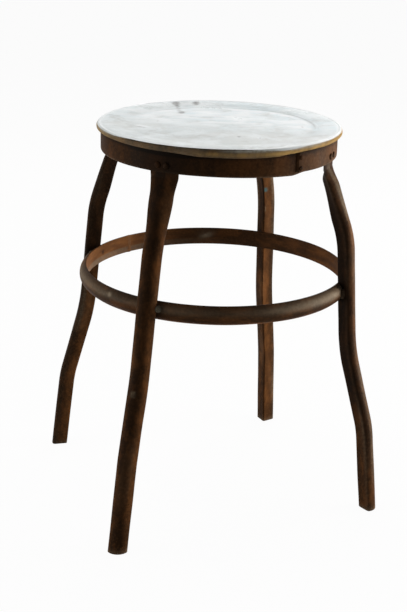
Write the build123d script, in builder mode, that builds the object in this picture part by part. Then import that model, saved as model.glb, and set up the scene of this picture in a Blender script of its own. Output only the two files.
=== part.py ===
# Round metal stool: a pressed seat pan on a strip apron, with four bent sheet legs and a foot ring.
# Millimetres, +Z up, the origin on the floor at the middle of the feet's stance.
import os
from math import asin, cos, degrees, radians, sin, sqrt, tan

from build123d import *

os.makedirs("parts", exist_ok=True)

# Seat pan: thin sheet, a sunk panel, and an edge rolled round a wire
seat_height = 554.0
seat_radius = 175.0
pan_sheet = 1.2
bead_radius = 5.0
panel_radius = 136.0
panel_sink = 2.4
panel_slope = 9.0
panel_bend = 12.0
roll_gap = 1.6
wire_gap = 0.15

# Apron band: one strip bent round, its ends lapped and riveted
band_overhang = 6.0
band_sheet = 3.0
band_height = 28.5
band_round = 2.6
seat_gap = 0.05
lap_azimuth = -73.0
lap_length = 30.0
lap_joggle = 26.0
lap_gap = 0.05
lap_rivet_inset = 6.0
lap_rivet_spread = 15.0

# Tack welds between the band and the rolled edge, inside
tack_count = 8
tack_length = 22.0
tack_radius = 3.0
tack_azimuth = 22.5

# Foot ring: a half-oval bar, flat inside, its ends butt-welded
ring_height = 330.7
ring_inner_radius = 189.0
ring_depth = 10.5
ring_edge = 2.5
ring_tall = 26.6
ring_round = 1.0
ring_joint_azimuth = 115.0
ring_joint_gap = 1.6
ring_joint_width = 7.0
ring_joint_proud = 0.9

# Leg section: a round back and two flats that meet at a ridge, folded from sheet with a seam
leg_sheet = 1.6
leg_half_width = 14.8
leg_back = 9.6
leg_ridge = 17.0
leg_corner = 4.0
leg_ridge_round = 2.5
leg_seam = 0.8

# The flattened top of a leg, and the swell below it
tab_half_width = 26.0
tab_ridge = 2.0
tab_corner = 0.5
tab_gap = 0.05
tab_above_rivets = 15.0
tab_below_band = 7.5
swell_half_width = 19.9
swell_back = 9.0
swell_ridge = 13.5
swell_place = 0.30
crimp_share = 0.7

# Bends of a leg: heights of the three knees, and where the ring lets into the ridge
knee_drop = 144.0
shin_drop = 84.0
calf_height = 126.0
notch_depth = 10.6
notch_gap = 0.15
knee_bend = 150.0
shin_bend = 280.0
calf_bend = 190.0

# Each leg was bent by hand: azimuth, turn of its section, lean at the ring, and reaches from the seat axis
legs = {
    "front_left": dict(azimuth=-137.3, turn=27.0, lean=9.3, calf=252.8, foot=277.3),
    "front_right": dict(azimuth=-42.4, turn=10.0, lean=4.4, calf=246.2, foot=259.6),
    "back_right": dict(azimuth=46.1, turn=10.0, lean=1.0, calf=230.0, foot=238.0),
    "back_left": dict(azimuth=137.1, turn=-3.0, lean=5.6, calf=250.0, foot=265.8),
}

# Length of leg that is cut off flat at the floor
floor_trim = 12.0

# Rivets that hold each leg's top inside the band, and those of the lap
rivet_radius = 2.5
rivet_head_radius = 4.5
rivet_head_height = 2.2
rivet_gap = 0.1
rivet_spread = 13.0
rivet_below_seat = 28.5
lap_rivet_radius = 2.0
lap_rivet_head_radius = 3.2
lap_rivet_head_height = 1.2

# Upright weld beads where the ring lies in the legs
weld_radius = 4.5
weld_tall = 15.0
weld_round = 4.0
weld_offset = 1.5

# The seat axis stands a little off the middle of the stance, because the legs are bent unevenly
axis_x = 6.6
axis_y = -0.4

# Heights and radii that follow from the sizes above
bead_centre_radius = seat_radius - bead_radius
bead_height = seat_height - bead_radius
band_radius = seat_radius - band_overhang
band_inner = band_radius - band_sheet
band_top = seat_height - 2 * bead_radius - seat_gap
band_bottom = band_top - band_height
rivet_height = seat_height - rivet_below_seat
tab_outer = band_inner - tab_gap
tab_back = tab_outer - sqrt(tab_outer**2 - tab_half_width**2)
tab_reach = tab_outer - tab_back
tab_bottom = band_bottom - tab_below_band
tab_top = rivet_height + tab_above_rivets
ring_outer_radius = ring_inner_radius + ring_depth
leg_at_ring = ring_outer_radius + leg_ridge - notch_depth
knee_height = seat_height - knee_drop
shin_height = ring_height - shin_drop
tab_inner = tab_reach - tab_ridge * (1 - rivet_spread / 2 / tab_half_width)
rivet_sunk = rivet_head_height / 3
rivet_grip = band_radius - tab_inner - rivet_sunk
rivet_reach = band_radius - tab_reach + 2 * tab_ridge
lap_middle = band_bottom + band_height / 2
lap_rivet_heights = (lap_middle - lap_rivet_spread / 2, lap_middle + lap_rivet_spread / 2)
lap_rivet_azimuth = lap_azimuth + degrees(lap_rivet_inset / band_radius)

floor = Plane(origin=(axis_x, axis_y, 0))
seat_axis = Axis(floor.origin, floor.z_dir)


def radial_plane(azimuth):
    """Upright plane through the seat axis: x runs outwards, y runs up."""
    a = radians(azimuth)
    return Plane(origin=floor.origin, x_dir=(cos(a), sin(a), 0), z_dir=(sin(a), -cos(a), 0))


def outward_plane(azimuth, radius, height):
    """Plane square to a radius, at a point of it, with its normal outwards."""
    upright = radial_plane(azimuth)
    return Plane(origin=upright.from_local_coords((radius, height)), x_dir=(0, 0, 1), z_dir=upright.x_dir)


def span_angle(length, radius):
    """Angle in degrees that an arc of this length takes up at this radius."""
    return degrees(length / radius)


def at(radius, azimuth):
    """Point in plan at a radius and an azimuth from the seat axis."""
    return (radius * cos(radians(azimuth)), radius * sin(radians(azimuth)))


def rivet_azimuths(leg):
    """Azimuths of the two rivets that stand side by side at the top of a leg."""
    spread = span_angle(rivet_spread, band_radius)
    return (leg["azimuth"] - spread / 2, leg["azimuth"] + spread / 2)


def faces_outwards(face):
    """Whether the middle of an upright face looks away from the seat axis."""
    middle = face.position_at(0.5, 0.5)
    away = Vector(middle.X - axis_x, middle.Y - axis_y)
    return face.normal_at(middle).dot(away.normalized()) > 0.5


def save(piece, label):
    """Name a finished piece and write it out."""
    piece.part.label = label
    export_step(piece.part, f"parts/{label}.step")


def rivet(azimuth, height, outside, grip, radius, head_radius, head_height):
    """Rivet along a radius: round head outside, shank, and a flatter formed head inside."""
    seat = outward_plane(azimuth, outside, height)
    dome = (head_radius**2 + head_height**2) / (2 * head_height)
    half = asin(head_radius / dome) / 2
    with BuildPart() as one:
        with BuildSketch(Plane(origin=seat.origin, x_dir=seat.z_dir, z_dir=seat.y_dir)):
            with BuildLine():
                ThreePointArc(
                    (head_height, 0),
                    (head_height - dome + dome * cos(half), dome * sin(half)),
                    (0, head_radius),
                )
                Polyline(
                    (0, head_radius),
                    (0, radius),
                    (-grip, radius),
                    (-grip, head_radius),
                    (-grip - head_height, radius),
                    (-grip - head_height, 0),
                    (head_height, 0),
                )
            make_face()
        revolve(axis=Axis(seat.origin, seat.z_dir))
    return one.part


# Seat pan, turned in one profile: panel, sloping step, rim and the roll round the wire
panel_top = seat_height - panel_sink
rim_inner = panel_radius + panel_slope
with BuildPart() as seat_pan:
    with BuildSketch(radial_plane(0)) as pan_profile:
        with BuildLine():
            upper = Polyline(
                (0, panel_top),
                (panel_radius, panel_top),
                (rim_inner, seat_height),
                (bead_centre_radius, seat_height),
            )
            lower = Polyline(
                (0, panel_top - pan_sheet),
                (panel_radius, panel_top - pan_sheet),
                (rim_inner, seat_height - pan_sheet),
                (bead_centre_radius, seat_height - pan_sheet),
            )
            Line(upper @ 0, lower @ 0)
            Line(upper @ 1, lower @ 1)
        make_face()
        fillet(pan_profile.vertices().sort_by(Axis.X)[2:6], panel_bend)
        with Locations((bead_centre_radius, bead_height)):
            Circle(bead_radius)
            Circle(bead_radius - pan_sheet, mode=Mode.SUBTRACT)
        with Locations((bead_centre_radius - bead_radius, seat_height - pan_sheet - roll_gap / 2)):
            Rectangle(2 * bead_radius, roll_gap, mode=Mode.SUBTRACT)
    revolve(axis=seat_axis)
save(seat_pan, "seat_pan")

# Wire inside the rolled edge
with BuildPart() as rim_wire:
    with BuildSketch(radial_plane(0)):
        with Locations((bead_centre_radius, bead_height)):
            Circle(bead_radius - pan_sheet - wire_gap)
    revolve(axis=seat_axis)
save(rim_wire, "rim_wire")

# Apron band: from its outer end over the joggle, then round to the inner end under the lap
lap_inner = band_radius + lap_gap
lap_outer = lap_inner + band_sheet
lap_end = lap_azimuth + span_angle(lap_length, band_radius)
joggle_end = lap_end + span_angle(lap_joggle, band_radius)
inner_end = lap_azimuth + span_angle(lap_length - band_sheet, band_radius) + 360
with BuildPart() as apron_band:
    with BuildSketch(floor.offset(band_bottom)):
        with BuildLine():
            CenterArc((0, 0), lap_outer, lap_azimuth, lap_end - lap_azimuth)
            Line(at(lap_outer, lap_end), at(band_radius, joggle_end))
            CenterArc((0, 0), band_radius, joggle_end, inner_end - joggle_end)
            Line(at(band_radius, inner_end), at(band_inner, inner_end))
            CenterArc((0, 0), band_inner, inner_end, joggle_end - inner_end)
            Line(at(band_inner, joggle_end), at(lap_inner, lap_end))
            CenterArc((0, 0), lap_inner, lap_end, lap_azimuth - lap_end)
            Line(at(lap_inner, lap_azimuth), at(lap_outer, lap_azimuth))
        make_face()
    extrude(amount=band_height)
    outsides = [face for face in apron_band.faces() if faces_outwards(face)]
    fillet([face.edges().sort_by(Axis.Z)[0] for face in outsides], band_round)
    for leg in legs.values():
        for azimuth in rivet_azimuths(leg):
            with BuildSketch(outward_plane(azimuth, band_radius, rivet_height)):
                Circle(rivet_radius + rivet_gap)
    for height in lap_rivet_heights:
        with BuildSketch(outward_plane(lap_rivet_azimuth, band_radius, height)):
            Circle(lap_rivet_radius + rivet_gap)
    extrude(amount=2 * band_sheet, both=True, mode=Mode.SUBTRACT)
save(apron_band, "apron_band")

# Rivets of the lap
lap_grip = 2 * band_sheet + lap_gap - rivet_gap
lap_pair = [
    rivet(
        lap_rivet_azimuth,
        height,
        lap_outer,
        lap_grip,
        lap_rivet_radius,
        lap_rivet_head_radius,
        lap_rivet_head_height,
    )
    for height in lap_rivet_heights
]
with BuildPart() as lap_rivets:
    add(lap_pair)
    add(apron_band.part, mode=Mode.SUBTRACT)
save(lap_rivets, "lap_rivets")

# Tack welds in the corner between the band's top edge and the rolled edge
tack_sweep = span_angle(tack_length, band_inner)
with BuildPart() as seat_tacks:
    for i in range(tack_count):
        with BuildSketch(radial_plane(tack_azimuth + i * 360 / tack_count - tack_sweep / 2)):
            with Locations((band_inner, band_top)):
                Circle(tack_radius)
            with Locations((bead_centre_radius, bead_height)):
                Circle(bead_radius, mode=Mode.SUBTRACT)
            with Locations((band_inner, band_top)):
                Rectangle(band_sheet, band_height, align=(Align.MIN, Align.MAX), mode=Mode.SUBTRACT)
        revolve(axis=seat_axis, revolution_arc=tack_sweep)
save(seat_tacks, "seat_tacks")


def ring_section(grow):
    """Half-oval profile of the foot ring, flat inside, grown all round by a margin."""
    with BuildSketch() as section:
        with BuildLine():
            inner = Line((ring_inner_radius, -ring_tall / 2), (ring_inner_radius, ring_tall / 2))
            top = Line(inner @ 1, (ring_inner_radius + ring_edge, ring_tall / 2))
            bottom = Line(inner @ 0, (ring_inner_radius + ring_edge, -ring_tall / 2))
            ThreePointArc(top @ 1, (ring_outer_radius, 0), bottom @ 1)
        make_face()
        fillet(section.vertices(), ring_round)
        if grow:
            offset(amount=grow)
    return section.sketch


# Foot ring: the bar goes round from one side of its joint to the other
joint_span = span_angle(ring_joint_gap, ring_outer_radius)
with BuildPart() as foot_ring:
    with BuildSketch(radial_plane(ring_joint_azimuth + joint_span / 2)):
        with Locations((0, ring_height)):
            add(ring_section(0))
    revolve(axis=seat_axis, revolution_arc=360 - joint_span)
save(foot_ring, "foot_ring")

# Weld that closes the ring
bead_span = span_angle(ring_joint_width, ring_outer_radius)
with BuildPart() as ring_joint_weld:
    with BuildSketch(radial_plane(ring_joint_azimuth - bead_span / 2)):
        with Locations((0, ring_height)):
            add(ring_section(ring_joint_proud))
    revolve(axis=seat_axis, revolution_arc=bead_span)
    add(foot_ring.part, mode=Mode.SUBTRACT)
save(ring_joint_weld, "ring_joint_weld")


def leg_section(half_width, back, ridge, corner):
    """Closed leg outline: x across, y outwards, a round back and two flats that meet at the ridge."""
    with BuildSketch() as section:
        with BuildLine():
            ThreePointArc((-half_width, 0), (0, back), (half_width, 0))
            Polyline((half_width, 0), (0, -ridge), (-half_width, 0))
        make_face()
        fillet(section.vertices().sort_by(Axis.Y)[0], leg_ridge_round)
        fillet(section.vertices().sort_by(Axis.X)[0], corner)
        fillet(section.vertices().sort_by(Axis.X)[-1], corner)
    return section.sketch


def folded_section():
    """Leg section as folded sheet: the outline's wall, with the seam open along the ridge."""
    with BuildSketch() as section:
        add(leg_section(leg_half_width, leg_back, leg_ridge, leg_corner))
        offset(amount=-leg_sheet, mode=Mode.SUBTRACT)
        with Locations((0, -leg_ridge)):
            Rectangle(leg_seam, leg_ridge, mode=Mode.SUBTRACT)
    return section.sketch


def leg_runs(leg):
    """Corner points of a leg's centre line in its upright plane, from the band to below the floor."""
    lean = tan(radians(leg["lean"]))
    knee = leg_at_ring - lean * (knee_height - ring_height)
    shin = leg_at_ring + lean * (ring_height - shin_height)
    foot_slope = (leg["foot"] - leg["calf"]) / calf_height
    return [
        Vector(tab_reach, tab_bottom),
        Vector(knee, knee_height),
        Vector(shin, shin_height),
        Vector(leg["calf"], calf_height),
        Vector(leg["foot"] + foot_slope * floor_trim, -floor_trim),
    ]


def run_plane(leg, share):
    """Plane square to a leg's first run, this share of the way along it, turned with the section."""
    upright = radial_plane(leg["azimuth"])
    top, knee = leg_runs(leg)[:2]
    point = top + (knee - top) * share
    run = upright.x_dir * (knee - top).X + upright.y_dir * (knee - top).Y
    square = Plane(origin=upright.from_local_coords(point), x_dir=-upright.z_dir, z_dir=run)
    return square.rotated((0, 0, leg["turn"] * share / crimp_share))


def leg_path(leg):
    """Centre line from the end of the crimp to below the floor: straight runs joined by bends."""
    top, knee, shin, calf, foot = leg_runs(leg)
    start = top + (knee - top) * crimp_share
    corners = [(point.X, point.Y) for point in (start, knee, shin, calf, foot)]
    with BuildLine(radial_plane(leg["azimuth"])) as path:
        FilletPolyline(*corners, radius=[knee_bend, shin_bend, calf_bend])
    return path.line


def tab_plane(leg):
    """Level plane at the foot of the flattened top, x across and y outwards."""
    upright = radial_plane(leg["azimuth"])
    origin = upright.from_local_coords((tab_reach, tab_bottom))
    return Plane(origin=origin, x_dir=-upright.z_dir, z_dir=(0, 0, -1))


def weld_places(turn):
    """Distances across the leg at which its two flats cross the ring's crown."""
    t = radians(turn)
    crown = ring_outer_radius - leg_at_ring
    ridge = (-leg_ridge * cos(t), -leg_ridge * sin(t))
    places = []
    for side in (-1, 1):
        corner = (-side * leg_half_width * sin(t), side * leg_half_width * cos(t))
        share = (corner[0] - crown) / (corner[0] - ridge[0])
        share = min(max(share, 0), 1)
        places.append(corner[1] + share * (ridge[1] - corner[1]) + side * weld_offset)
    return places


tab_outline = leg_section(tab_half_width, tab_back, tab_ridge, tab_corner)
full_outline = leg_section(leg_half_width, leg_back, leg_ridge, leg_corner)
swell_outline = leg_section(swell_half_width, swell_back, swell_ridge, leg_corner)
sheet_outline = folded_section()
notch_span = span_angle(4 * leg_half_width, ring_inner_radius)
for name, leg in legs.items():
    path = leg_path(leg)

    # The room that the ring takes in the leg's ridge
    with BuildPart() as ring_notch:
        with BuildSketch(radial_plane(leg["azimuth"] - notch_span / 2)):
            with Locations((0, ring_height)):
                add(ring_section(notch_gap))
        revolve(axis=seat_axis, revolution_arc=notch_span)

    # Leg: flattened top, swelling crimp, then the folded sheet along its bends
    with BuildPart() as bent_leg:
        with BuildSketch(tab_plane(leg)):
            add(tab_outline)
        with BuildSketch(run_plane(leg, swell_place)):
            add(swell_outline)
        with BuildSketch(run_plane(leg, crimp_share)):
            add(full_outline)
        loft()
        with BuildSketch(tab_plane(leg)):
            add(tab_outline)
        extrude(amount=tab_bottom - tab_top)
        with BuildSketch(run_plane(leg, crimp_share)):
            add(sheet_outline)
        sweep(path=path)
        split(bisect_by=floor, keep=Keep.TOP)
        add(ring_notch.part, mode=Mode.SUBTRACT)
        for azimuth in rivet_azimuths(leg):
            with BuildSketch(outward_plane(azimuth, band_radius, rivet_height)):
                Circle(rivet_radius + rivet_gap)
        extrude(amount=-rivet_reach, mode=Mode.SUBTRACT)
    save(bent_leg, f"leg_{name}")

    # Pair of rivets through the band and the leg's flattened top
    pair = [
        rivet(
            azimuth,
            rivet_height,
            band_radius,
            rivet_grip,
            rivet_radius,
            rivet_head_radius,
            rivet_head_height,
        )
        for azimuth in rivet_azimuths(leg)
    ]
    with BuildPart() as leg_rivets:
        add(pair)
        add(bent_leg.part, mode=Mode.SUBTRACT)
    save(leg_rivets, f"leg_rivets_{name}")

    # Two weld beads that hold the ring in the leg's ridge
    with BuildPart() as leg_outside:
        with BuildSketch(run_plane(leg, crimp_share)):
            add(full_outline)
        sweep(path=path)
    upright = radial_plane(leg["azimuth"])
    with BuildPart() as ring_welds:
        for across in weld_places(leg["turn"]):
            place = upright.from_local_coords((ring_outer_radius, ring_height, -across))
            with Locations(place):
                Cylinder(weld_radius, weld_tall)
        fillet(ring_welds.edges().filter_by(GeomType.CIRCLE), weld_round)
        add(leg_outside.part, mode=Mode.SUBTRACT)
        add(foot_ring.part, mode=Mode.SUBTRACT)
    save(ring_welds, f"ring_welds_{name}")
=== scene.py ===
import bmesh
import bpy
import numpy as np
from mathutils import Matrix


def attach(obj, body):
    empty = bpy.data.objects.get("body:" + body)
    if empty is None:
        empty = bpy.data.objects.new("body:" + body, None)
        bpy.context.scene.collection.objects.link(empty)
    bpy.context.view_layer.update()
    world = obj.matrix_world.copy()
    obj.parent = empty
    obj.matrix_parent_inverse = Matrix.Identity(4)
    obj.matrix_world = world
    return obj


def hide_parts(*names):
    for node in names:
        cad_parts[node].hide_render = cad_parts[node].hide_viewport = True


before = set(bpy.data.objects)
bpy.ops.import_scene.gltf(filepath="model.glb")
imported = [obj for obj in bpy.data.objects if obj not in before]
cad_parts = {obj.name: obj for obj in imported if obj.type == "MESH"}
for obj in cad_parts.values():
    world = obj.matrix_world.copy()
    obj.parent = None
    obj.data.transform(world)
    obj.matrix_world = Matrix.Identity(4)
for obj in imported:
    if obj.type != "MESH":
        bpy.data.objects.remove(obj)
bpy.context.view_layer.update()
print("stage 1: frame loaded,", len(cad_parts), "nodes")

# Sizes are in mm, azimuths and turns in degrees about the seat's axis
mm = 0.001  # in metres, the unit of the meshes
seatAxis = np.array([6.6, -0.4])
viewSide = -111.1  # azimuth of the side that faces the photograph's camera


def eased(x, zero, one):
    # cubic step: 0 up to the first place, 1 past the second, level at both; the second may be the smaller
    t = np.clip((x - zero) / (one - zero), 0, 1)
    return t * t * (3 - 2 * t)


def easedPath(x, stops):
    # passes through the (place, value) stops, level at each
    total = np.full(np.shape(x), float(stops[0][1]))
    for (start, low), (end, high) in zip(stops, stops[1:]):
        total = total + (high - low) * eased(x, start, end)
    return total


def bump(x, middle, width):
    # bell curve of height 1
    return np.exp(-((x - middle) / width) ** 2)


def plateau(x, middle, width):
    # as bump, with a flatter top and steeper sides
    return np.exp(-((x - middle) / width) ** 4)


def angleGap(a, b):
    # smallest turn between two azimuths
    return (a - b + 180) % 360 - 180


def around(azimuth, middle, width):
    # bell curve about an azimuth
    return bump(angleGap(azimuth, middle), 0, width)


def ripple(u, v, seed, waves=7, slow=0.35, fast=1.6, peak=1.5):
    # hand-made unevenness: a few crossed sine waves with seeded directions, within about -1..1
    # less 1, it mostly presses a surface in
    rng = np.random.default_rng(seed)
    pace = rng.uniform(slow, fast, (waves, 2)) * rng.choice([-1, 1], (waves, 2))
    phase = rng.uniform(0, 2 * np.pi, waves)
    total = sum(np.sin(p[0] * u + p[1] * v + q) for p, q in zip(pace, phase))
    return total / np.sqrt(waves) / peak


def placed(out, across, height, azimuth):
    # points from the distance out along an azimuth, the distance across it and the height
    a = np.radians(azimuth)
    x = seatAxis[0] + out * np.cos(a) - across * np.sin(a)
    y = seatAxis[1] + out * np.sin(a) + across * np.cos(a)
    return np.stack(np.broadcast_arrays(x, y, height), -1)


def gridFaces(rows, columns, closeRows, closeColumns):
    # quads of a rows x columns grid, joined end to end where asked
    i = np.arange(rows if closeRows else rows - 1)[:, None]
    j = np.arange(columns if closeColumns else columns - 1)[None]
    i2, j2 = (i + 1) % rows, (j + 1) % columns
    quads = [i * columns + j, i2 * columns + j, i2 * columns + j2, i * columns + j2]
    return np.stack(np.broadcast_arrays(*quads), -1).reshape(-1, 4)


def endCaps(rows, columns):
    # one face over the first row of a grid and one over the last
    return [[list(range(start, start + columns))] for start in (0, (rows - 1) * columns)]


def makePiece(name, grids, material, nodes, sharp, second=None):
    # grids: list of dicts with points (rows, columns, 3), close flags, caps and painted values
    # sharp: angle in degrees from which an edge isn't smoothed
    mesh = bpy.data.meshes.new(name)
    points, faces, paints, start = [], [], {}, 0
    for grid in grids:
        rows, columns = grid["points"].shape[:2]
        points.append(grid["points"].reshape(-1, 3))
        quads = gridFaces(rows, columns, grid.get("closeRows", False), grid.get("closeColumns", False))
        for group in (quads, *grid.get("caps", [])):
            faces += (np.asarray(group) + start).tolist()
        for key, value in grid["paint"].items():
            flat = np.broadcast_to(value, (rows, columns)).reshape(-1)
            paints.setdefault(key, []).append(flat)
        start += rows * columns
    mesh.from_pydata((np.concatenate(points) * mm).tolist(), [], faces)
    if second:  # the first grid says which of its faces take the second material
        mesh.polygons.foreach_set("material_index", grids[0]["second"].reshape(-1).astype(np.int32))
    for key, values in paints.items():
        layer = mesh.attributes.new(key, "FLOAT", "POINT")
        layer.data.foreach_set("value", np.concatenate(values).astype(np.float32))
    work = bmesh.new()
    work.from_mesh(mesh)
    bmesh.ops.remove_doubles(work, verts=work.verts, dist=1e-6)
    bmesh.ops.recalc_face_normals(work, faces=work.faces)
    work.to_mesh(mesh)
    work.free()
    mesh.polygons.foreach_set("use_smooth", np.ones(len(mesh.polygons), bool))
    mesh.set_sharp_from_angle(angle=np.radians(sharp))
    for finish in filter(None, (material, second)):
        mesh.materials.append(finish)
    piece = bpy.data.objects.new(name, mesh)
    bpy.context.scene.collection.objects.link(piece)
    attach(piece, "root")
    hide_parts(*nodes)


# Materials

def newNode(tree, kind, values, **settings):
    # shader node with its inputs set to values, or linked where a value is another node's output
    node = tree.nodes.new(kind)
    for key, value in settings.items():
        setattr(node, key, value)
    for key, value in values.items():
        if isinstance(value, bpy.types.NodeSocket):
            tree.links.new(value, node.inputs[key])
        else:
            node.inputs[key].default_value = value
    return node


def startMaterial(name):
    material = bpy.data.materials.new(name)
    material.use_nodes = True
    tree = material.node_tree
    where = tree.nodes.new("ShaderNodeTexCoord").outputs["Object"]
    return material, tree, tree.nodes["Principled BSDF"], where


def spread(tree, where, scale, turn=0.0):
    # object coordinates turned about the upright axis, then multiplied by scale, for streaks
    values = {"Vector": where, "Rotation": (0, 0, np.radians(turn)), "Scale": [1 / k for k in scale]}
    return newNode(tree, "ShaderNodeMapping", values, vector_type="TEXTURE").outputs[0]


def noise(tree, where, scale, detail, rough, twist=0.0):
    values = {"Vector": where, "Scale": scale, "Detail": detail, "Roughness": rough, "Distortion": twist}
    return newNode(tree, "ShaderNodeTexNoise", values).outputs[0]


def painted(tree, name):
    return newNode(tree, "ShaderNodeAttribute", {}, attribute_name=name).outputs["Fac"]


def ramp(tree, value, low, high, bottom=0.0, top=1.0):
    # straight ramp of a value from low..high to bottom..top, clamped
    values = {"Value": value, "From Min": low, "From Max": high, "To Min": bottom, "To Max": top}
    return newNode(tree, "ShaderNodeMapRange", values).outputs[0]


def combine(tree, kind, a, b):
    return newNode(tree, "ShaderNodeMath", {0: a, 1: b}, operation=kind).outputs[0]


def blendColour(tree, share, a, b):
    # colour a where share is 0, colour b where it is 1; inputs 6 and 7 and output 2 are the node's colours
    a, b = ((*colour, 1) if isinstance(colour, tuple) else colour for colour in (a, b))
    return newNode(tree, "ShaderNodeMix", {0: share, 6: a, 7: b}, data_type="RGBA").outputs[2]


def layColours(tree, colour, noises, layers, look):
    # layers: noise, where its colour sets in, where that has its full share, the colour's name
    for source, start, full, tint in layers:
        share = ramp(tree, noises[source], start, full, 0, look[tint + "Share"])
        colour = blendColour(tree, share, colour, look[tint])
    return colour


def brokenPaint(tree, name, source, limits, least):
    # a painted value, weakened to the least share where the noise is low
    return combine(tree, "MULTIPLY", painted(tree, name), ramp(tree, source, *limits, least))


def relief(tree, shader, height, depth):
    node = newNode(tree, "ShaderNodeBump", {"Height": height, "Distance": depth * mm, "Strength": 1.0})
    tree.links.new(node.outputs[0], shader.inputs["Normal"])


steelLayers = (
    ("cloud", 0.38, 0.62, "brown"), ("streak", 0.47, 0.66, "rust"), ("grain", 0.52, 0.7, "speck"),
    ("grain", 0.45, 0.3, "deep"))


def rustySteel(name, look):
    # brown mill skin with rust clouds and streaks; painted orange, wear with painted highlights, painted
    # shade and fleck lie over it in turn
    material, tree, shader, where = startMaterial(name)
    cloud = noise(tree, where, look["cloud"], detail=5, rough=0.6, twist=0.4)
    grain = noise(tree, where, look["grain"], detail=6, rough=0.65)
    streak = noise(tree, spread(tree, where, look["stretch"]), look["streak"], detail=4, rough=0.6)
    noises = dict(cloud=cloud, grain=grain, streak=streak)
    colour = layColours(tree, look["dark"], noises, steelLayers, look)
    orange = brokenPaint(tree, "orange", streak, look["orangeBreak"], look["evenOrange"])
    colour = blendColour(tree, orange, colour, look["orange"])
    # wear with painted highlights: scuffed corners and feet, and lit strips, crowns and crests painted
    # lighter
    scuffAndHighlight = brokenPaint(tree, "wearAndHighlight", grain, look["scuffAndHighlightBreak"], look["evenScuffAndHighlight"])
    colour = blendColour(tree, scuffAndHighlight, colour, look["scuffAndHighlight"])
    # painted shade, towards the deep colour that the pits share
    shade = combine(tree, "MULTIPLY", painted(tree, "shade"), look["shadeShare"])
    colour = blendColour(tree, shade, colour, look["deep"])
    colour = blendColour(tree, painted(tree, "fleck"), colour, look["fleck"])
    tree.links.new(colour, shader.inputs["Base Color"])
    tree.links.new(ramp(tree, cloud, *look["glossCloud"], *look["gloss"]), shader.inputs["Roughness"])
    shader.inputs["Specular IOR Level"].default_value = look["shine"]
    hills = combine(tree, "MULTIPLY", cloud, look["cloudRelief"])
    pits = combine(tree, "MULTIPLY", grain, look["grainRelief"])
    relief(tree, shader, combine(tree, "ADD", hills, pits), look["pit"])
    return material


# the scuff colours are those of scuffs and of painted highlights; the deep colour is that of pits and of
# painted shade
legLook = dict(
    cloud=18, grain=260, streak=75, stretch=(1, 1, 0.5),
    brownShare=1.0, rustShare=0.5, speckShare=0.55, deepShare=0.5, shadeShare=0.85,
    orangeBreak=(0.3, 0.62), evenOrange=0.35, scuffAndHighlightBreak=(0.36, 0.62), evenScuffAndHighlight=0.35,
    glossCloud=(0.3, 0.7), gloss=(0.42, 0.62), shine=0.012, pit=0.6, cloudRelief=0.8, grainRelief=0.5,
    dark=(0.03, 0.0142, 0.0066), brown=(0.047, 0.0213, 0.009), rust=(0.14, 0.053, 0.0165),
    speck=(0.115, 0.052, 0.019), orange=(0.30, 0.116, 0.035), scuffAndHighlight=(0.2, 0.15, 0.1),
    deep=(0.007, 0.0045, 0.003), fleck=(0.05, 0.13, 0.14))
bandLook = dict(legLook, cloud=20, streak=30, stretch=(1.1, 1.1, 0.6), rustShare=0.38, speckShare=0.4)
ringLook = dict(
    legLook, cloud=14, streak=50, stretch=(0.4, 0.4, 1.6), shine=0.02, speckShare=0.3, deepShare=0.3,
    evenScuffAndHighlight=0.75, scuffAndHighlight=(0.28, 0.222, 0.155))
edgeLook = dict(
    legLook, cloud=40, dark=(0.075, 0.055, 0.036), brown=(0.14, 0.1, 0.062), rust=(0.18, 0.105, 0.05),
    orange=(0.4, 0.25, 0.085), scuffAndHighlight=(0.4, 0.375, 0.31), evenScuffAndHighlight=0.45)
weldLook = dict(
    legLook, cloud=120, grain=700, brown=(0.05, 0.03, 0.017), rust=(0.085, 0.045, 0.022), pit=0.9,
    gloss=(0.35, 0.5), scuffAndHighlight=(0.21, 0.2, 0.15), shine=0.02)
legSteel = rustySteel("legSteel", legLook)
bandSteel = rustySteel("bandSteel", bandLook)
ringSteel = rustySteel("ringSteel", ringLook)
weldSteel = rustySteel("weldSteel", weldLook)
edgeSteel = rustySteel("edgeSteel", edgeLook)

paintLayers = (
    ("blotch", 0.47, 0.62, "rubbed"), ("stain", 0.5, 0.72, "grime"), ("scratch", 0.6, 0.74, "mark"),
    ("fine", 0.68, 0.75, "speck"))


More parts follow.
